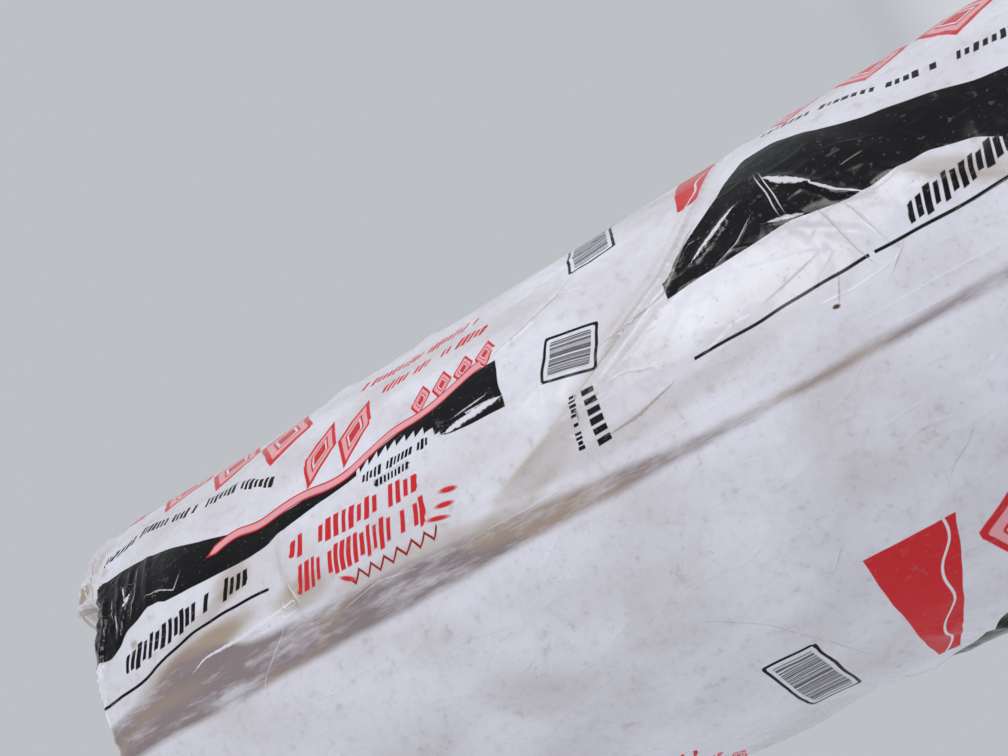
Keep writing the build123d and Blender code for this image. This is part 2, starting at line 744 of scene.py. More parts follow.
    def paint_frames(self, g: Graph, colour: Signal) -> Signal:
        """Lays the framed fields of bars over a colour.

        Args:
            g: the material's graph
            colour: the colour below

        Returns:
            The new colour.
        """
        off = g.attribute("frame_off")
        frame = abs(off + self.frame_line / 2).below(self.frame_line / 2)
        stripes = g.noise(g.attribute("frame_across"), 0.42, roughness=0.8, on_line=True)
        bars = off.below(-7.0) * stripes.ramp(0.40, 0.52) * 0.85
        return g.blend(colour, Ink.BLACK.value, frame + bars)


def nearest_of(located: Sequence[Arrays]) -> Arrays:
    """Joins several fields of distances into one.

    Args:
        located: for each field, its distances and a second value

    Returns:
        The distance that is nearest to zero at each point, and its second value.
    """
    offs, steps = (np.stack(part) for part in zip(*located))
    first = np.argmin(np.abs(offs), axis=0)[None]
    return np.take_along_axis(offs, first, 0)[0], np.take_along_axis(steps, first, 0)[0]


def beside(path: Sequence[Point], along: Array, around: Array) -> tuple[Array, Array, float]:
    """Where each point lies beside a path.

    Args:
        path: the path's points, as (along, around)
        along: film coordinates, in millimetres
        around: film coordinates, in millimetres

    Returns:
        The distance from the path, below zero on its right, how far the nearest end is, and the
        path's length.
    """
    corners = np.array(path, float)
    steps = np.diff(corners, axis=0)
    lengths = np.hypot(steps[:, 0], steps[:, 1])
    starts = np.concatenate([[0.0], np.cumsum(lengths)[:-1]])
    nearest = np.full(along.shape, np.inf)
    side = np.ones(along.shape)
    reach = np.zeros(along.shape)
    for (x, y), (dx, dy), length, start in zip(corners[:-1], steps, lengths, starts):
        share = np.clip(((along - x) * dx + (around - y) * dy) / length**2, 0, 1)
        off_x, off_y = along - x - share * dx, around - y - share * dy
        distance = np.hypot(off_x, off_y)
        closer = distance < nearest
        nearest = np.where(closer, distance, nearest)
        side = np.where(closer, np.where(dx * off_y - dy * off_x > 0, 1.0, -1.0), side)
        reach = np.where(closer, start + share * length, reach)
    whole = lengths.sum()
    return nearest * side, np.minimum(reach, whole - reach), whole


@dataclass(frozen=True)
class Fold:
    """A gathered fold of the film.

    Args:
        path: points of its crest, as (along, around) in millimetres
        height: how far the crest stands out, in millimetres
        rise: width of the slope on the left of the path, in millimetres
        fall: width of the slope on the right of the path, in millimetres
        taper: length over which the fold dies away at its ends, in millimetres
        stain_and_shade: how brown the foot of the fold is on the right, as stain and painted shade, from 0 to
            1
    """

    path: tuple[Point, ...]
    height: float
    rise: float
    fall: float
    taper: float = 45.0
    stain_and_shade: float = 0.0

    def offset(self, along: Array, around: Array) -> Arrays:
        """The distance from the crest, below zero on its right, and how far the fold has set in."""
        distance, reach, length = beside(self.path, along, around)
        return distance, np.sqrt(np.clip(reach / min(self.taper, length / 2), 0, 1))

    def relief(self, along: Array, around: Array) -> Array:
        """Works out how far the fold lifts the film.

        Args:
            along: film coordinates
            around: film coordinates

        Returns:
            The lift, in millimetres.
        """
        off, set_in = self.offset(along, around)
        slope = np.clip(1 - np.abs(off) / np.where(off > 0, self.rise, self.fall), 0, 1)
        return self.height * slope**1.6 * (1.6 - 0.6 * slope) * set_in

    def trace(self, along: Array, around: Array) -> Array:
        """How brown the fold's foot is at each point, as stain and painted shade."""
        off, set_in = self.offset(along, around)
        return self.stain_and_shade * np.exp(-(((off + 3.0) / 3.4) ** 2)) * set_in


@dataclass(frozen=True)
class Crease:
    """A sharp line where the film was folded hard, thin at both ends.

    Args:
        path: its points, as (along, around) in millimetres
        half_width: in the middle of the path, in millimetres
        highlight: how strong the painted highlight along the line is, from 0 to 1
        dark: how dark the line is, from dirt and painted shade, from 0 to 1
    """

    path: tuple[Point, ...]
    half_width: float
    bright: float = 0.0
    dark: float = 0.0

    def offset(self, along: Array, around: Array) -> Arrays:
        """Works out where the line is.

        Args:
            along: film coordinates
            around: film coordinates

        Returns:
            The distance from the line in millimetres, and the same in half widths.
        """
        distance, reach, length = beside(self.path, along, around)
        thick = np.sin(np.clip(reach / length, 0, 0.5) * math.pi) ** 0.6
        return distance, distance / (self.half_width * thick.clip(0.12, 1))


@dataclass(frozen=True)
class Patch:
    """A soft-edged patch where the brown facing shows through the film; some are deepened as painted shade.

    Args:
        centre: its middle, as (along, around)
        half: half its length and width
        turn: its turn, in degrees
        strength: how brown it is in the middle, from 0 to 1
    """

    centre: Point
    half: Point
    turn: float
    strength: float

    def share(self, along: Array, around: Array) -> Array:
        """Works out how brown the patch makes the film.

        Args:
            along: film coordinates
            around: film coordinates

        Returns:
            The share, from 0 up.
        """
        u, v = turned_place(self.centre, self.turn, along, around)
        off = np.hypot(u / self.half[0], v / self.half[1])
        return self.strength * smooth_share(1.35 - off, 0.0, 0.8)


def smooth_share(value: Array, low: float, high: float) -> Array:
    """Runs smoothly from 0 at low to 1 at high."""
    share = np.clip((value - low) / (high - low), 0, 1)
    return share * share * (3 - 2 * share)


@dataclass
class Ripples:
    """A smooth random field on the film that closes round the roll.

    Args:
        girth: length once round, in millimetres
        seed: another number gives another field
        shortest: shortest wave, in millimetres
        longest: longest wave, in millimetres
        stretch: how much longer the waves are along the roll than around it
        waves: how many waves are added up
    """

    girth: float
    seed: int
    shortest: float
    longest: float
    stretch: float = 1.0
    waves: int = 48

    def field(self, along: Array, around: Array) -> Array:
        """Adds up the waves.

        Args:
            along: film coordinates
            around: film coordinates

        Returns:
            The field, with a spread of about 1.
        """
        draw = np.random.default_rng(self.seed)
        total = np.zeros(np.broadcast(along, around).shape)
        for _ in range(self.waves):
            wave = math.exp(draw.uniform(math.log(self.shortest), math.log(self.longest)))
            heading = draw.uniform(0, 2 * math.pi)
            phase = draw.uniform(0, 2 * math.pi)
            turns = round(self.girth * math.sin(heading) / wave)
            pace = math.cos(heading) / (wave * self.stretch)
            total += np.cos(2 * math.pi * (along * pace + around * turns / self.girth) + phase)
        return total * math.sqrt(2 / self.waves)


VIEWED_FOLDS = (
    Fold(((218, 120), (187, 60), (159, -11), (133, -49), (102, -79), (62, -104), (30, -124)),
         4.2, 7.0, 11.0, 60.0, 0.5),
    Fold(((74, -96), (15, -136), (-48, -171), (-121, -200)), 1.5, 5.0, 12.0, 50.0, 0.4),
    Fold(((196, 100), (172, 52), (146, -8), (121, -44), (90, -73), (50, -98), (0, -128)), 1.5, 9.0,
         5.0, 60.0, 0.2),
    Fold(((104, -104), (40, -140), (-30, -168), (-110, -196)), 1.2, 5.0, 9.0, 45.0, 0.25),
    Fold(((36, 14), (5, -13), (-30, -33), (-65, -46), (-120, -50)), 2.0, 4.5, 18.0),
    Fold(((80, 84), (40, 52), (-20, 30), (-90, 22)), 1.6, 5.0, 16.0),
    Fold(((214, -16), (217, -40), (220, -64), (224, -98)), 2.2, 4.5, 4.5, 16.0),
    Fold(((130, -82), (160, -64), (188, -46)), 2.6, 7.0, 7.0, 20.0),
    Fold(((220, -32), (241, -54), (258, -80), (272, -102), (296, -120)), 3.4, 7.0, 9.0, 20.0),
    Fold(((262, 2), (280, -25), (296, -60), (312, -86), (334, -112)), 2.0, 20.0, 24.0),
    Fold(((300, -92), (330, -122), (365, -148), (405, -178), (450, -205)), 4.0, 10.0, 30.0, 45.0,
         0.2),
    Fold(((214, -100), (250, -128), (286, -160)), 1.6, 4.5, 12.0, 20.0),
    Fold(((228, -104), (238, -140), (232, -168)), 1.2, 4.5, 8.0, 20.0),
    Fold(((-523, -30), (-519, -66), (-514, -112)), 2.2, 4.5, 8.0, 14.0),
    Fold(((-536, -45), (-533, -80), (-542, -108)), 2.0, 4.5, 4.5, 12.0),
    Fold(((-548, -34), (-545, -64), (-552, -100), (-560, -128)), 2.6, 4.5, 5.5, 14.0),
    Fold(((-566, -38), (-560, -70), (-570, -112)), 2.6, 5.0, 5.5, 14.0),
    Fold(((-582, -60), (-578, -95), (-586, -130), (-582, -156)), 3.2, 4.5, 7.0, 14.0),
    Fold(((-575, 48), (-510, 24), (-450, 2), (-400, -8), (-345, -42)), 2.0, 8.0, 20.0),
    Fold(((-344, -100), (-350, -140), (-340, -200)), 2.6, 4.5, 22.0, 18.0, 0.3),
    Fold(((-590, -206), (-540, -190), (-480, -196), (-400, -184), (-350, -196)), 2.4, 8.0, 18.0),
    Fold(((-330, -214), (-250, -204), (-140, -206), (-20, -220)), 2.8, 10.0, 20.0),
    Fold(((-288, 150), (-283, 108), (-292, 70)), 3.6, 5.0, 30.0, 16.0),
    Fold(((-176, 150), (-170, 100), (-184, 60)), 2.4, 8.0, 26.0, 16.0),
)
STAINS_AND_SHADE = (
    Patch((-470, -182), (72, 16), 8.0, 0.85),
    # darker brown along the lower edge: facing showing through, deepened as painted shade
    Patch((-478, -204), (70, 14), 0.0, 0.7),
    Patch((-412, -128), (24, 16), 12.0, 0.45),
    Patch((-448, -150), (52, 9), 18.0, 0.42),
    Patch((-335, -180), (34, 16), 0.0, 0.6),
    Patch((-215, -205), (90, 13), -4.0, 0.5),
    Patch((-95, -205), (95, 16), 24.0, 0.42),
    Patch((50, -196), (120, 12), 4.0, 0.25),
    Patch((360, -140), (46, 13), -38.0, 0.5),
    # at the cuff's rim: brown facing, deepened as painted shade on its folds
    Patch((-625, -26), (9, 13), 0.0, 1.5),
    Patch((-614, 20), (4, 24), 0.0, 0.30),
    Patch((-594, -84), (6, 6), 0.0, 0.8),
    Patch((-540, -139), (4, 5), 0.0, 0.8),
    Patch((-592, -18), (4, 8), 0.0, 0.5),
)


# Creases with a highlight share carry painted highlights; those with a dark share carry dirt and painted
# shade.
VIEWED_CREASES = (
    Crease(((188, -46), (160, -64), (133, -80)), 2.3, 0.85),
    Crease(((220, -32), (232, -50), (257, -76)), 3.4, 0.85),
    Crease(((250, -70), (270, -98), (292, -118)), 1.7, 0.8),
    Crease(((207, -87), (238, -101)), 2.4, 0.7),
    Crease(((196, -70), (176, -88), (150, -98)), 0.8, 0.5),
    Crease(((-551, -92), (-543, -76)), 1.8, 0.85),
    Crease(((-557, -60), (-549, -86)), 1.2, 0.8),
    Crease(((-563, -92), (-560, -118)), 1.0, 0.6),
    Crease(((-571, -70), (-568, -96)), 0.8, 0.5),
    Crease(((-537, -46), (-534, -80), (-541, -108)), 0.8, 0.4),
    Crease(((-522, -95), (-503, -95), (-481, -106), (-472, -91)), 0.9, 0.55),
    Crease(((-144, -108), (-112, -105), (-78, -104)), 4.8, 0.9),
    Crease(((-132, -97), (-92, -93)), 1.2, 0.6),
    Crease(((71, -26), (129, -44)), 0.9, 0.8),
    Crease(((6, -16), (30, -23)), 1.1, 0.8),
    Crease(((-340, -182), (-418, -190), (-461, -190), (-478, -197)), 2.2, 0.85),
    Crease(((-344, -193), (-398, -197)), 1.2, 0.8),
    Crease(((-353, -152), (-340, -190)), 0.9, 0.7),
    Crease(((32, 20), (-2, -18), (-43, -37), (-80, -50)), 0.9, 0.0, 0.6),
    Crease(((148, -38), (99, -95), (54, -109), (24, -110)), 1.5, 0.0, 0.6),
    Crease(((62, -106), (22, -128), (0, -140)), 1.2, 0.0, 0.6),
    Crease(((74, -182), (34, -192), (2, -194)), 1.9, 0.0, 0.75),
    Crease(((250, -107), (262, -161), (268, -177)), 0.8, 0.0, 0.6),
    Crease(((271, -114), (287, -170)), 0.6, 0.0, 0.5),
    Crease(((238, -173), (228, -194)), 1.0, 0.0, 0.6),
    Crease(((232, -144), (174, -158)), 0.5, 0.0, 0.6),
    Crease(((296, -175), (275, -194)), 0.7, 0.0, 0.6),
    Crease(((-626, 44), (-617, -11), (-603, -54)), 1.3, 0.0, 0.6),
    Crease(((-613, -44), (-604, -78)), 1.0, 0.0, 0.55),
    Crease(((-634, 12), (-626, -16), (-616, -40)), 1.3, 0.7),
)


@dataclass
class FilmWrapper:
    """The thin film sleeve that is turned in over both ends of the roll.

    Args:
        sizes: the roll's sizes
        sheet: what is printed on the film
        shoulder: radius of the film's bend at the floor
        arcs: column spacing of the mesh, as (from, to, step) around, in millimetres
        heights: row spacing of the mesh on the wall, as (to, step) up the roll
        cuff_low: where the loose cuff starts round the roll
        cuff_high: where the loose cuff stops
        pleats: how many pleats each turned-in end has
        folds: the folds that the picture shows
        stains_and_shade: the brown patches that the picture shows, some deepened as painted shade
        creases: the sharp creases that the picture shows, some with painted highlights along them, others
            with dirt and painted shade
        crease_reach: how far from its line a crease is known, in millimetres
        rims: where the wall ends at the cuff and at the floor, along
        viewed: the stretch that the picture shows, around
        strips: where creases run along the clear strips, around
        fold_count: how many folds the unseen sides have
        crease_count: how many creases from handling the film has
        ridge: how far round its pitch a pleat has its ridge, as a share
        seed: another number gives other folds on the unseen sides
    """

    sizes: RollSizes
    sheet: FilmPrint
    shoulder: float = 0.019
    arcs: tuple[tuple[float, float, float], ...] = (
        (-846.0, -640.0, 11.0), (-640.0, -215.0, 5.0), (-215.0, 112.0, 2.6), (112.0, 846.0, 10.5),
    )
    heights: tuple[tuple[float, float], ...] = ((0.150, 0.0120), (1.175, 0.0043))
    cuff_low: float = math.radians(-48.0)
    cuff_high: float = math.radians(128.0)
    pleats: int = 30
    folds: tuple[Fold, ...] = VIEWED_FOLDS
    stains_and_shade: tuple[Patch, ...] = STAINS_AND_SHADE
    creases: tuple[Crease, ...] = VIEWED_CREASES
    crease_reach: float = 16.0
    rims: Point = (-600.0, 612.0)
    viewed: Point = (-240.0, 125.0)
    strips: tuple[float, ...] = (-820.0, -804.0, -788.0, -216.0, 340.0, 356.0, 372.0)
    fold_count: int = 64
    crease_count: int = 420
    ridge: float = 0.72
    seed: int = 11

    def cuff_lift(self, angle: Array) -> Array:
        """Says where the end has its cuff.

        Args:
            angle: angle round the roll

        Returns:
            How far the end follows the cuff's section, from 0 to about 1.
        """
        turned = np.mod(angle - self.cuff_low, 2 * math.pi)
        span = self.cuff_high - self.cuff_low
        rising = smooth_share(turned, 0.0, math.radians(5.5))
        falling = smooth_share(span - turned, 0.0, math.radians(24.0))
        taller = 0.90 + 0.17 * smooth_share(turned, math.radians(5.0), math.radians(36.0))
        ruffle = 1 - 0.035 * (1 + np.sin(9 * turned + 0.6)) * (0.7 + 0.3 * np.sin(23 * turned))
        return rising * falling * taller * ruffle

    def sections(self) -> Arrays:
        """The film's section on the plain side and on the cuff's side.

        Returns:
            Two arrays with a row for each row of the mesh, as (radius, height).
        """
        s, bend = self.sizes, self.shoulder
        flat = s.radius - bend
        lower = [(r, 0.0) for r in np.linspace(s.mouth_radius, flat, 14)[:-1]]
        turn = np.linspace(0, math.pi / 2, 8)
        lower += [(flat + bend * math.sin(a), bend * (1 - math.cos(a))) for a in turn]
        z = bend
        for stop, step in self.heights:
            count = round((stop - z) / step)
            lower += [(s.radius, float(h)) for h in np.linspace(z, stop, count + 1)[1:]]
            z = stop
        over, inside = (s.blanket_top - z) / MM, (s.radius - s.mouth_radius) / MM
        # corners as inset, height past the blanket and rows up to there
        plain = [(0, 1.5 - over, 1), (0, -6, 16), (1.5, 5, 6), (6, 10, 5), (22, 11, 7), (inside, 7, 28)]
        cuff = [(0, 1.5 - over, 1), (0, 10, 19), (1, 13, 3), (5, 17, 3), (3, 24, 4), (1, 40, 6),
                (3, 54, 5), (9, 63, 4), (25, 65, 4), (inside, 57, 14)]
        both = []
        for corners in (plain, cuff):
            rows = []
            last = (0.0, -over)
            for inset, height, count in corners:
                for share in np.linspace(0, 1, count + 1)[1:]:
                    rows.append((last[0] + share * (inset - last[0]), last[1] + share * (height - last[1])))
                last = (inset, height)
            rows = np.array(rows)
            for _ in range(3):
                rows[1:-1] = (rows[:-2] + 2 * rows[1:-1] + rows[2:]) / 4
            upper = np.stack([s.radius - rows[:, 0] * MM, s.blanket_top + rows[:, 1] * MM], axis=-1)
            both.append(np.concatenate([np.array(lower), upper]))
        return both[0], both[1]

    def columns(self) -> Array:
        """Spaces the mesh's columns.

        Returns:
            Their places around, in millimetres.
        """
        parts = [np.arange(low, high - step / 2, step) for low, high, step in self.arcs]
        scale = self.sizes.girth / MM / (self.arcs[-1][1] - self.arcs[0][0])
        return np.concatenate(parts)[None, :] * scale

    def ripples(self, seed: int, shortest: float, longest: float, stretch: float = 1.0) -> Ripples:
        """A random field that closes round this roll."""
        return Ripples(self.sizes.girth / MM, seed, shortest, longest, stretch)

    def pleat(self, angle: Array, inward: Array, seed: int) -> Array:
        """Radial pleats of the turned-in end, from 0 to 1.

        Args:
            angle: angle round the roll
            inward: distance in from the rim
            seed: another number gives other pleats

        Returns:
            The height of the pleats, as a share.
        """
        draw = np.random.default_rng(seed)
        waves = draw.uniform(0, 2 * math.pi, 3)
        uneven = sum(0.11 / n * np.sin(n * angle + wave) for n, wave in zip((3, 5, 9), waves))
        turns = (angle + uneven + 1.6 * inward) * self.pleats / (2 * math.pi)
        share = turns - np.floor(turns)
        tall = 0.65 + 0.35 * np.sin(np.floor(turns) * 2.4 + waves[0])
        rise, fall = share / self.ridge, (1 - share) / (1 - self.ridge)
        return tall * np.where(share < self.ridge, rise**1.4, fall)

    def wall_relief(self, along: Array, around: Array) -> Array:
        """Gathers lumps, crumples and folds on the roll's wall.

        Args:
            along: film coordinates
            around: film coordinates

        Returns:
            How far the film stands off the blanket, in millimetres.
        """
        lumps = self.ripples(3, 170.0, 520.0).field(along, around)
        sag = self.ripples(5, 70.0, 160.0, 1.6).field(along, around)
        crumple = self.ripples(8, 34.0, 85.0, 1.7).field(along, around)
        fine = self.ripples(9, 15.0, 30.0, 1.6).field(along, around)
        busy = 0.30 + 0.5 * smooth_share(self.ripples(21, 110.0, 260.0).field(along, around), -0.2, 1.4)
        busy = busy + 0.6 * smooth_share(np.abs(around + 52), 165, 230)
        relief = 1.3 * lumps + 0.6 * sag + 0.8 * busy * (1 - np.abs(crumple).clip(0, 1)) ** 2
        rim = np.minimum(np.abs(along - self.rims[0] - 4), np.abs(along - self.rims[1] - 3))
        relief += 2.1 * np.exp(-rim / 20) * (1 - np.abs(fine).clip(0, 1))
        for fold in self.folds + self.scattered_folds():
            relief += fold.relief(along, around)
        return relief

    def scattered_folds(self) -> tuple[Fold, ...]:
        """Draws folds for the sides that the picture doesn't show.

        Returns:
            The folds, each also one girth further round.
        """
        draw = np.random.default_rng(self.seed)
        found = []
        for _ in range(self.fold_count):
            along, around = draw.uniform(-560, 560), draw.uniform(150, 1210)
            heading = draw.normal(0.0, 0.5) + (0.45 if draw.random() < 0.5 else -0.45)
            points = [(along, around)]
            for _ in range(draw.integers(3, 6)):
                heading += draw.normal(0, 0.16)
                step = draw.uniform(35, 75)
                along, around = along + step * math.cos(heading), around + step * math.sin(heading)
                points.append((along, around))
            lift = draw.uniform(1.8, 5.2)
            rise, fall = draw.uniform(11, 16), draw.uniform(13, 32)
            found.append(Fold(tuple(points), lift, rise, fall, 60.0))
        girth = self.sizes.girth / MM
        wrapped = [Fold(tuple((x, y - girth) for x, y in f.path), f.height, f.rise, f.fall, f.taper)
                   for f in found]
        return tuple(found + wrapped)

    def scattered_creases(self) -> tuple[Crease, ...]:
        """Draws creases from handling, closer together at the two rims.

        Returns:
            The creases.
        """
        draw = np.random.default_rng(self.seed + 1)
        found = []
        for turn in range(self.crease_count):
            at_rim = turn % 2 == 0
            around = draw.uniform(self.arcs[0][0], self.arcs[-1][1])
            if at_rim:
                end, inward = ((self.rims[0], 1), (self.rims[1], -1))[turn % 4 // 2]
                along, length = end + inward * draw.exponential(22), draw.uniform(14, 42)
                heading = draw.normal(math.pi / 2 if draw.random() < 0.4 else 0.0, 0.5)
            else:
                along, length = draw.uniform(-560, 580), draw.uniform(24, 130)
                heading = draw.normal(0.45 if draw.random() < 0.5 else -0.45, 0.35)
            points = [(along, around)]
            for _ in range(draw.integers(1, 4)):
                heading += draw.normal(0, 0.25)
                along += length / 2 * math.cos(heading)
                around += length / 2 * math.sin(heading)
                points.append((along, around))
            # two in three creases get a painted highlight, the rest dirt and painted shade
            bright, dark = (draw.uniform(0.15, 0.45), 0.0) if turn % 3 else (0.0, draw.uniform(0.2, 0.5))
            if not self.viewed[0] < points[0][1] < self.viewed[1]:
                found.append(Crease(tuple(points), draw.uniform(0.35, 0.7), bright, dark))
            elif at_rim:
                found.append(Crease(tuple(points), 0.4, bright * 0.6, dark))
        for around in self.strips:
            along = -300.0 if self.viewed[0] < around < self.viewed[1] else -580.0
            while along < 560:
                length, rise = draw.uniform(50, 130), draw.normal(0, 3)
                points = ((along, around), (along + length / 2, around + rise), (along + length, around))
                found.append(Crease(points, draw.uniform(0.5, 1.4), draw.uniform(0.3, 0.7)))
                along += length + draw.uniform(20, 90)
        return tuple(found)

    def crease_marks(self, along: Array, around: Array) -> dict[str, Array]:
        """How each point lies beside its nearest crease.

        Args:
            along: film coordinates
            around: film coordinates

        Returns:
            The values by attribute name.
        """
        nearest = np.full(along.shape, self.crease_reach)
        offset = np.full(along.shape, 40.0)
        bright, dark = np.zeros(along.shape), np.zeros(along.shape)
        for crease in self.creases + self.scattered_creases():
            low, high = np.min(crease.path, axis=0), np.max(crease.path, axis=0)
            inside = (along > low[0] - self.crease_reach) & (along < high[0] + self.crease_reach)
            inside &= (around > low[1] - self.crease_reach) & (around < high[1] + self.crease_reach)
            spots = np.nonzero(inside)
            distance, in_widths = crease.offset(along[spots], around[spots])
            closer = np.abs(distance) < nearest[spots]
            spots = tuple(part[closer] for part in spots)
            nearest[spots], offset[spots] = np.abs(distance[closer]), in_widths[closer]
            bright[spots], dark[spots] = crease.bright, crease.dark
        known = 1 - smooth_share(nearest, 4.6, 6.0)
        return {"crease": offset, "crease_highlight": bright * known, "crease_dark": dark * known}

    def build(self) -> bpy.types.Object:
        """Builds the film as one mesh.

        Returns:
            The film's object.
        """
        s = self.sizes
        around = self.columns()
        angle = around * MM / s.radius - FACING_TURN
        lift = self.cuff_lift(angle)
        plain, cuff = (part[:, None, :] for part in self.sections())
        r, z = (plain[..., k] * (1 - lift) + cuff[..., k] * lift for k in range(2))
        dr, dz = np.gradient(r, axis=0), np.gradient(z, axis=0)
        size = np.hypot(dr, dz) + 1e-9
        normal_r, normal_z = dz / size, -dr / size
        along = (ALONG_ZERO - z) / MM
        around = around + 0 * z
        inset = (s.radius - r) / MM
        is_top = (z > s.blanket_top / 2) * 1.0
        depth = np.clip((inset - 16) / ((s.radius - s.mouth_radius) / MM - 16), 0, 1)
        on_end = smooth_share(inset, 4.0, 18.0)
        flank = lift * smooth_share(z, s.blanket_top + 13 * MM, s.blanket_top + 22 * MM)
        wall = self.wall_relief(along, around)
        ruffle = self.ripples(31, 16.0, 46.0, 2.2).field(along, around)
        wall = wall * (1 - flank) + flank * (3.4 * (1 - np.abs(ruffle).clip(0, 1)) - 1.2)
        gather = self.pleat(angle, inset * MM, 4) * is_top + self.pleat(angle, inset * MM, 6) * (1 - is_top)
        tall = is_top * (4.5 + 2.0 * lift) + (1 - is_top) * 1.1
        relief = wall.clip(-2.2, 9.5) * (1 - on_end) + tall * gather * on_end * (0.2 + 0.8 * depth**0.5)
        out_r = r + normal_r * relief * MM
        out_z = z + np.where(is_top > 0, normal_z, np.abs(normal_z)) * relief * MM
        edge = smooth_share(depth, 0.9, 1.0)
        out_r += edge * (3.5 * np.sin(self.pleats * angle * 0.37) + 2 * ruffle) * MM
        rings = np.stack([out_r * np.cos(angle), out_r * np.sin(angle), out_z.clip(0)], axis=-1)
        film = ringed_object("film_sleeve", rings)
        for name, values in self.marks(along, around, relief, inset, gather).items():
            attribute = film.data.attributes.new(name, "FLOAT", "POINT")
            attribute.data.foreach_set("value", values.astype(np.float32).ravel())
        return film

    def marks(self, along: Array, around: Array, relief: Array, inset: Array,
              gather: Array) -> dict[str, Array]:
        """What the film's material reads at each point of the mesh.

        Args:
            along: film coordinates
            around: film coordinates
            relief: how far the film stands out, in millimetres
            inset: how far inside the roll's outline the point lies, in millimetres
            gather: height of the ends' pleats, as a share

        Returns:
            The values by attribute name.
        """
        on_end = smooth_share(inset, 4.0, 18.0)
        slack = self.ripples(41, 60.0, 190.0, 1.4).field(along, around)
        contact_and_shade = 0.16 * smooth_share(slack - 0.35 * relief, 0.1, 1.6)
        contact_and_shade = np.where(on_end > 0.5, 0.34 + 0.22 * slack - 0.3 * gather, contact_and_shade)
        contact_and_shade = contact_and_shade + 0.22 * smooth_share(np.abs(along), 600, 612)
        # brown patches, some deepened as painted shade
        for patch in self.stains_and_shade:
            contact_and_shade += patch.share(along, around)
        # fold feet: brown stain and painted shade
        for fold in self.folds:
            contact_and_shade += fold.trace(along, around)
        rim = np.exp(-np.clip(along + 560, 0, None) / 34) + np.exp(-np.clip(590 - along, 0, None) / 40)
        dark = smooth_share(along, 90, 130) * smooth_share(310 - along, 0, 50)
        dark = dark * smooth_share(around, -112, -94) * smooth_share(20 - around, 0, 30)
        busy = smooth_share(self.ripples(43, 60.0, 150.0).field(along, around), 0.0, 1.5)
        crinkle = 0.04 + 0.55 * rim + 0.26 * dark + 0.14 * busy + 0.3 * on_end
        bumpy = 0.5 + 2.6 * np.exp(-np.clip(along + 600, 0, None) / 24)
        turned_in = np.where(along < 0, -1.0, 1.0) * np.clip(inset - 4, 0, None)
        slip_along = bumpy * self.ripples(45, 24.0, 90.0).field(along, around) + turned_in
        slip_around = bumpy * 0.7 * self.ripples(46, 30.0, 110.0).field(along, around)
        return {
            **self.crease_marks(along, around),
            **self.sheet.layout(along + slip_along, around + slip_around),
            "contact_and_shade": contact_and_shade.clip(0, 1),
            "crinkle": crinkle.clip(0, 1),
            # painted shade: soft grey blotches over the white film
            "painted_shade": (0.22 + 0.2 * self.ripples(44, 70.0, 240.0).field(along, around)).clip(0, 0.7),
            "slip_along": slip_along,
            "slip_around": slip_around,
            "gather": on_end,
        }


def ringed_object(name: str, rings: Array, closed: bool = False) -> bpy.types.Object:
    """Makes a smooth-shaded mesh from rings of points round the roll's axis.

    Args:
        name: the object's name
        rings: the points, by ring, place in the ring and axis; the outer ones run upwards, or
            downwards if the mesh is closed
        closed: whether the last ring joins the first

    Returns:
        The object, linked to the scene.
    """
    index = np.arange(rings.shape[0] * rings.shape[1]).reshape(rings.shape[:2])
    low, high = (index, np.roll(index, -1, axis=0)) if closed else (index[:-1], index[1:])
    corners = (low, np.roll(low, -1, axis=1), np.roll(high, -1, axis=1), high)
    faces = np.stack([corners[k] for k in ((0, 3, 2, 1) if closed else range(4))], axis=-1)
    mesh = bpy.data.meshes.new(name)
    mesh.from_pydata(rings.reshape(-1, 3).tolist(), [], faces.reshape(-1, 4).tolist())
    mesh.polygons.foreach_set("use_smooth", np.ones(len(mesh.polygons), bool))
    mesh.update()
    made = bpy.data.objects.new(name, mesh)
    bpy.context.scene.collection.objects.link(made)
    return made


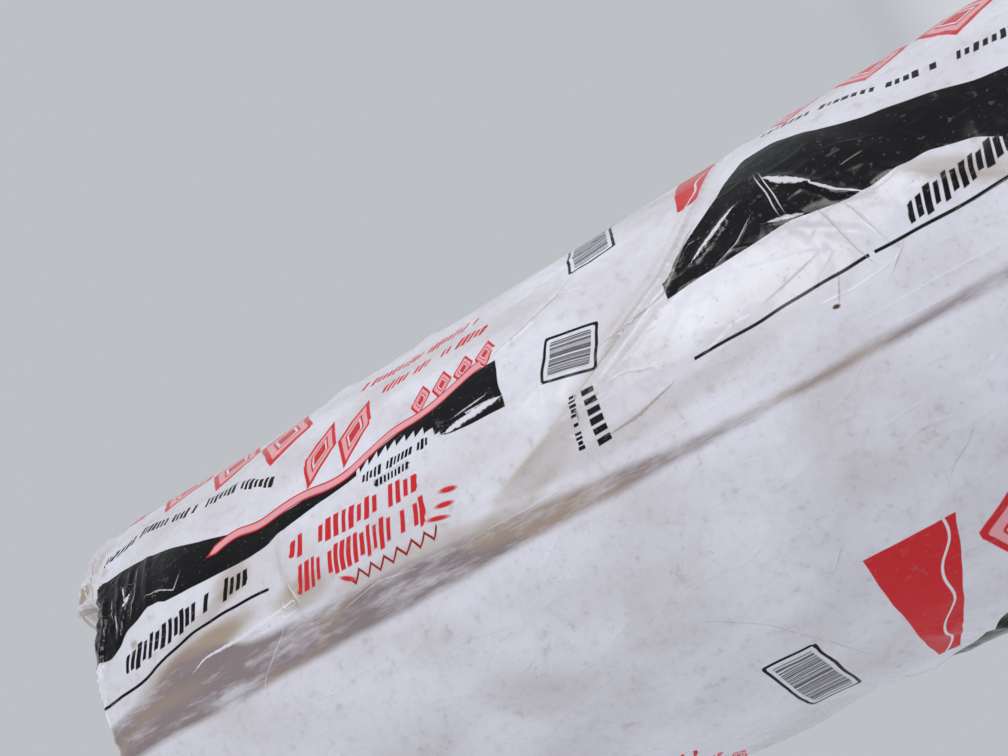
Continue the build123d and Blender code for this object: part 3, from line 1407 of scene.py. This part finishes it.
@dataclass
class WoolBlanket:
    """The wound blanket, whose turns show on its two ends.

    Args:
        sizes: the roll's sizes
        columns: how many columns the mesh has round the roll
        slack: how far the blanket's wall stays inside the film
        rim: size of the blanket's bevelled rim
        seen_radius: how far out the ends are meshed finely
        groove: depth of the groove between two turns
        bulge: how far each turn's edge swells between its grooves
    """

    sizes: RollSizes
    columns: int = 300
    slack: float = 0.0055
    rim: float = 0.016
    seen_radius: float = 0.178
    groove: float = 0.0055
    bulge: float = 0.0022

    def profile(self) -> list[tuple[float, float, float]]:
        """Lists the blanket's section, up its bore and round to its lower end.

        Returns:
            Radius, height and share of end relief with its sign, for each row.
        """
        s = self.sizes
        low, high = s.blanket_bottom, s.blanket_top
        outer = s.radius - self.slack
        heights = low + (high - low) * (0.5 - 0.5 * np.cos(np.linspace(0, math.pi, 40)))
        radii = np.concatenate([
            np.linspace(s.core_radius + 1.5 * MM, self.seen_radius, 74),
            np.linspace(self.seen_radius + 8 * MM, outer - self.rim, 9),
        ])
        rows = [(s.core_radius, z, 0.0) for z in heights[1:-1]]
        rows += [(r, high, -1.0) for r in radii]
        rows += [(outer, z, 0.0) for z in np.linspace(high - self.rim, low + self.rim, 9)]
        rows += [(r, low, 1.0) for r in radii[::-1]]
        return rows

    def build(self) -> bpy.types.Object:
        """Builds the blanket as one closed mesh.

        Returns:
            The blanket's object.
        """
        s = self.sizes
        rows = np.array(self.profile())
        angle = np.linspace(0, 2 * math.pi, self.columns, endpoint=False)[None, :]
        radius, height, sign = (rows[:, k][:, None] for k in range(3))
        turns = (radius - s.core_radius) / s.turn_pitch - angle / (2 * math.pi)
        share = turns - np.floor(turns)
        seam = np.minimum(share, 1 - share)
        girth = 2 * math.pi * 0.1 / MM
        wavy = Ripples(girth, 51, 9.0, 34.0).field(radius / MM, angle * 0.1 / MM)
        broad = Ripples(girth, 52, 40.0, 120.0).field(radius / MM, angle * 0.1 / MM)
        groove = self.groove * np.clip(1 - seam / 0.13, 0, 1) ** 1.5
        crown = self.bulge * (1 - np.clip(seam / 0.5, 0, 1)) ** 2
        dip = groove + crown + (0.45 * wavy.clip(-2, 1) + 0.45) * MM + (0.6 * broad.clip(-1.5, 1) + 0.6) * MM
        end_z = height + sign * dip
        bore = (radius <= s.core_radius) * 1.0
        out_r = radius + bore * (0.9 * MM * broad + 0.5 * MM * np.sin(height * 900 + 5 * angle))
        rings = np.stack([out_r * np.cos(angle), out_r * np.sin(angle), end_z + 0 * angle], axis=-1)
        return ringed_object("wound_blanket", rings, closed=True)


@dataclass(frozen=True)
class FilmFinish:
    """Milky printed film that lies on brown faced wool, with painted shade, painted highlights and painted
    sheen.
    """

    white: Colour = (0.755, 0.75, 0.825)
    shaded_white: Colour = (0.60, 0.57, 0.60)
    tint: Colour = (0.40, 0.32, 0.25)
    clear: Colour = (0.27, 0.22, 0.225)
    beige: Colour = (0.41, 0.31, 0.235)
    # streak: whitish streaks on the clear film, painted sheen over milky air gaps
    streak: Colour = (0.62, 0.60, 0.64)
    dirt: Colour = (0.26, 0.22, 0.19)
    dust: Colour = (0.34, 0.33, 0.34)
    painted_highlight: Colour = (0.80, 0.79, 0.84)
    grime_and_shade: Colour = (0.36, 0.31, 0.28)
    roughness: float = 0.23

    def material(self, sizes: RollSizes, sheet: FilmPrint) -> bpy.types.Material:
        """Builds the film's material.

        Args:
            sizes: the roll's sizes
            sheet: what is printed on the film

        Returns:
            The material.
        """
        g = Graph(bpy.data.materials.new("printed_film"))
        place, x, y, z = g.place()
        contact_and_shade, crinkle, crease = (g.attribute(name) for name in ("contact_and_shade", "crinkle", "crease"))
        bright, dark = g.attribute("crease_highlight"), g.attribute("crease_dark")
        along = g.math("MULTIPLY_ADD", z, -1 / MM, ALONG_ZERO / MM) + g.attribute("slip_along")
        arc = (g.math("ARCTAN2", y, x) + FACING_TURN) * (sizes.radius / MM) + g.attribute("slip_around")
        around = g.math("WRAP", arc, sheet.panel_end, sheet.panel_end - sheet.panel_pitch)
        inked = g.attribute("ink_edge").above(0.0, 5.0)
        printed = along.between(*sheet.print_span, 0.8)
        mottle = g.noise(place, 75.0, 2.0, roughness=0.75)
        # painted shade: blotches that grey the white film towards shaded_white
        shade = (g.attribute("painted_shade") + mottle.ramp(0.42, 0.70) * 0.28).clamped()
        milk = g.blend(self.white, self.shaded_white, shade)
        # brown facing showing through, partly painted shade
        milk = g.blend(milk, self.tint, contact_and_shade)
        fine = g.noise(place, 240.0, 1.0)
        colour, band = sheet.paint(g, milk, along, around)
        colour = g.blend(milk, g.blend(self.bare_film(g, place, contact_and_shade), colour, inked), printed)
        dirt = (mottle.ramp(0.62, 0.72) * 0.8 + fine.ramp(0.68, 0.78)).clamped()
        colour = g.blend(colour, self.dirt, dirt * 0.24 * (1 - band))
        colour = g.blend(colour, self.dust, band * dirt * 0.16)
        line = (abs(crease) + (fine - 0.5) * 1.3).ramp(1.15, 0.55)
        # painted highlights along the bright creases
        colour = g.blend(colour, self.painted_highlight, line * bright)
        # dirt and painted shade along the dark creases
        colour = g.blend(colour, self.grime_and_shade, line * dark)
        rough = self.roughness - band * 0.06 + dirt * 0.25
        shader = g.add("ShaderNodeBsdfPrincipled", {}, {
            "Base Color": colour, "Roughness": rough, "IOR": 1.47, "Specular IOR Level": 0.20,
            "Normal": self.bump(g, place, crinkle, (1 - abs(crease) * 0.25).larger(0.0) * (bright + dark),
                                arc * g.attribute("gather")),
        })
        return g.finish(shader)

    def bare_film(self, g: Graph, place: Signal, contact_and_shade: Signal) -> Signal:
        """The clear film with the brown facing behind it, and whitish streaks: painted sheen over milky air
        gaps.

        Args:
            g: the material's graph
            place: object coordinates
            contact_and_shade: how closely the film lies on the facing, with painted shade in places, from 0
                to 1

        Returns:
            The colour.
        """
        patches = g.noise(g.stretched(place, (1.0, 1.0, 0.5)), 17.0, 1.0)
        streaks = g.noise(g.stretched(place, (1.0, 1.0, 0.22)), 70.0, 4.0, roughness=0.65)
        bare = g.blend(self.clear, self.beige, patches.ramp(0.44, 0.60) * 0.7)
        # painted sheen: whitish streaks over the clear film
        return g.blend(bare, self.streak, (streaks.ramp(0.42, 0.74) * 0.9 - contact_and_shade * 0.3).clamped())

    def bump(self, g: Graph, place: Signal, crinkle: Signal, crease: Signal, pleated: Signal) -> Signal:
        """The fine wrinkles of the film.

        Args:
            g: the material's graph
            place: object coordinates
            crinkle: how crumpled the film is, from 0 to 1
            crease: the sharp creases, from 0 to 1
            pleated: arc on the turned-in ends and 0 on the wall

        Returns:
            The bumped normal.
        """
        long_folds = abs(g.noise(g.stretched(place, (1.0, 1.0, 0.42)), 21.0, 2.0) - 0.5)
        small = abs(g.noise(g.stretched(place, (0.45, 0.45, 1.2)), 38.0, 1.5) - 0.5)
        height = (0.030 - long_folds).larger(0.0) * 9 + crinkle * (0.14 - small).larger(0.0) * 10
        height = height + abs(g.noise(pleated, 0.075, on_line=True) - 0.5) * 11 + crease * 0.5
        return g.signal("ShaderNodeBump", {}, {"Height": height, "Strength": 0.9, "Distance": 1 * MM})


@dataclass(frozen=True)
class WoolFinish:
    """Glass wool with its facing, seen on its cut edge."""

    wool: Colour = (0.74, 0.55, 0.38)
    pale: Colour = (0.86, 0.72, 0.56)
    deep: Colour = (0.42, 0.27, 0.17)
    facing: Colour = (0.32, 0.24, 0.17)
    roughness: float = 0.92

    def material(self, sizes: RollSizes) -> bpy.types.Material:
        """Builds the blanket's material.

        Args:
            sizes: the roll's sizes

        Returns:
            The material.
        """
        g = Graph(bpy.data.materials.new("glass_wool"))
        place, x, y, z = g.place()
        radius = g.math("SQRT", x * x + y * y)
        angle = g.math("ARCTAN2", y, x)
        spin = (angle / (2 * math.pi)) % 1.0
        turn = ((radius - sizes.core_radius) / sizes.turn_pitch - spin) % 1.0
        wave = g.noise(place, 40.0, 3.0)
        layers = g.signal("ShaderNodeCombineXYZ", {}, {0: radius * 420, 1: angle * 3, 2: z * 60})
        lay = g.noise(layers, 1.0, 4.0, roughness=0.65)
        fibre = g.noise(place, 700.0, 3.0, roughness=0.8)
        colour = g.blend(self.wool, self.pale, (lay.above(0.5, 0.2) * 0.6 + wave * 0.3).clamped())
        colour = g.blend(colour, self.deep, fibre.above(0.58, 0.12) * 0.35)
        edge = abs(turn - 0.5 + (wave - 0.5) * 0.05).above(0.465, 0.014)
        colour = g.blend(colour, self.facing, edge * 0.85)
        height = lay * 0.6 + fibre * 0.5 + wave * 0.6
        bump = g.signal("ShaderNodeBump", {}, {"Height": height, "Strength": 0.8, "Distance": 0.0015})
        shader = g.add("ShaderNodeBsdfPrincipled", {}, {
            "Base Color": colour, "Roughness": self.roughness, "Normal": bump,
            "Specular IOR Level": 0.2, "Sheen Weight": 0.25, "Sheen Roughness": 0.5,
        })
        return g.finish(shader)


@dataclass(frozen=True)
class Lamp:
    """A soft box.

    Args:
        name: the lamp's name
        heading: from the roll's middle towards the lamp
        distance: from the roll's middle
        size: side of its square face
        power: in watts
        spread: how wide its grid lets the light fan out, in degrees
    """

    name: str
    heading: tuple[float, float, float]
    distance: float
    size: float
    power: float
    spread: float = 180.0


@dataclass(frozen=True)
class Studio:
    """The floor, the backdrop's colour, the lamps and the camera."""

    floor_colour: Colour = (0.80, 0.81, 0.83)
    backdrop: Colour = (0.51, 0.53, 0.56)
    ambient: Colour = (0.92, 0.95, 1.0)
    ambient_strength: float = 0.56
    floor_rings: tuple[float, ...] = (14.0, 7.0, 3.0, 1.0, 0.3, 0.0)
    floor_drop: float = 0.0004
    lamps: tuple[Lamp, ...] = (
        Lamp("key_box", (0.80, -0.50, 0.04), 3.0, 0.9, 9.6, 100.0),
        Lamp("fill_box", (-0.75, -0.75, 0.55), 3.0, 2.2, 13.0),
        Lamp("back_box", (-0.35, 0.85, 0.80), 3.0, 2.0, 20.0),
        Lamp("top_box", (0.10, -0.05, 1.00), 2.6, 2.0, 14.0),
    )
    camera_place: tuple[float, float, float] = (0.0038, -1.3736, 0.3389)
    camera_right: tuple[float, float, float] = (-0.4726, 0.3233, -0.8198)
    camera_up: tuple[float, float, float] = (0.8714, 0.0330, -0.4894)
    lens_mm: float = 47.14
    sensor_mm: float = 36.0

    def build(self, middle: Vector) -> None:
        """Puts up the whole studio.

        Args:
            middle: the point that the lamps face
        """
        self.build_world()
        self.build_floor()
        for lamp in self.lamps:
            self.build_lamp(lamp, middle)
        self.build_camera()
        bpy.context.scene.view_settings.view_transform = "Standard"

    def build_world(self) -> None:
        """Makes the even light from all sides and the pale backdrop."""
        g = Graph(bpy.data.worlds.new("studio"))
        path = g.add("ShaderNodeLightPath", {}, {})
        camera, glossy, through = (
            Signal(g, path.outputs[f"Is {kind} Ray"]) for kind in ("Camera", "Glossy", "Transmission"))
        light, drop = (
            g.add("ShaderNodeBackground", {}, {"Color": colour, "Strength": strength})
            for colour, strength in ((self.ambient, self.ambient_strength), (self.backdrop, 1.0)))
        shader = g.cover(camera.larger(glossy).larger(through), light, drop)
        bpy.context.scene.world = g.finish(shader, "World")

    def build_floor(self) -> None:
        """Lays a pale floor that fades into the backdrop."""
        angles = np.linspace(0, 2 * math.pi, 96, endpoint=False)
        radii = np.array(self.floor_rings)
        rings = np.stack([np.outer(radii, np.cos(angles)), np.outer(radii, np.sin(angles)),
                          np.full((len(radii), len(angles)), -self.floor_drop)], axis=-1)
        floor = ringed_object("floor", rings)
        floor.data.materials.append(self.floor_material())

    def floor_material(self) -> bpy.types.Material:
        """A plain floor that takes the backdrop's colour far from the roll.

        Returns:
            The material.
        """
        g = Graph(bpy.data.materials.new("floor"))
        inputs = {0: g.place()[0]}
        away = g.signal("ShaderNodeVectorMath", {"operation": "LENGTH"}, inputs, output="Value")
        lit = g.add("ShaderNodeBsdfDiffuse", {}, {"Color": self.floor_colour})
        far = g.add("ShaderNodeEmission", {}, {"Color": self.backdrop, "Strength": 1.0})
        return g.finish(g.cover(away.above(4.0, 2.5), lit, far))

    def build_lamp(self, lamp: Lamp, middle: Vector) -> None:
        """Hangs one soft box.

        Args:
            lamp: the soft box
            middle: the point that it faces
        """
        light = bpy.data.lights.new(lamp.name, "AREA")
        light.size = lamp.size
        light.energy = lamp.power
        light.spread = math.radians(lamp.spread)
        held = bpy.data.objects.new(lamp.name, light)
        heading = Vector(lamp.heading).normalized()
        held.location = middle + heading * lamp.distance
        held.rotation_mode = "QUATERNION"
        held.rotation_quaternion = heading.to_track_quat("Z", "Y")
        bpy.context.scene.collection.objects.link(held)

    def build_camera(self) -> None:
        """Puts the camera where the photograph was taken from."""
        data = bpy.data.cameras.new("camera")
        data.lens, data.sensor_width = self.lens_mm, self.sensor_mm
        camera = bpy.data.objects.new("camera", data)
        right, up = Vector(self.camera_right).normalized(), Vector(self.camera_up)
        back = right.cross(up).normalized()
        up = back.cross(right)
        turn = Matrix((right, up, back)).transposed().to_4x4()
        camera.matrix_world = Matrix.Translation(self.camera_place) @ turn
        bpy.context.scene.collection.objects.link(camera)
        bpy.context.scene.camera = camera


def main() -> None:
    """Builds the roll and its studio, one class after another."""
    logging.basicConfig(level=logging.INFO, format="%(message)s")
    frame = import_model()
    sizes = RollSizes.from_frame(frame["record"])
    Studio().build(Vector((0.0, 0.0, ALONG_ZERO)))

    wool = WoolBlanket(sizes).build()
    wool.data.materials.append(WoolFinish().material(sizes))
    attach(wool, "root")
    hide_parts("wool_roll")
    LOG.info("%s: %d faces", wool.name, len(wool.data.polygons))

    sheet = FilmPrint()
    film = FilmWrapper(sizes, sheet).build()
    film.data.materials.append(FilmFinish().material(sizes, sheet))
    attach(film, "root")
    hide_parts("film_wrap")
    LOG.info("%s: %d faces", film.name, len(film.data.polygons))


if __name__ == "__main__":
    main()
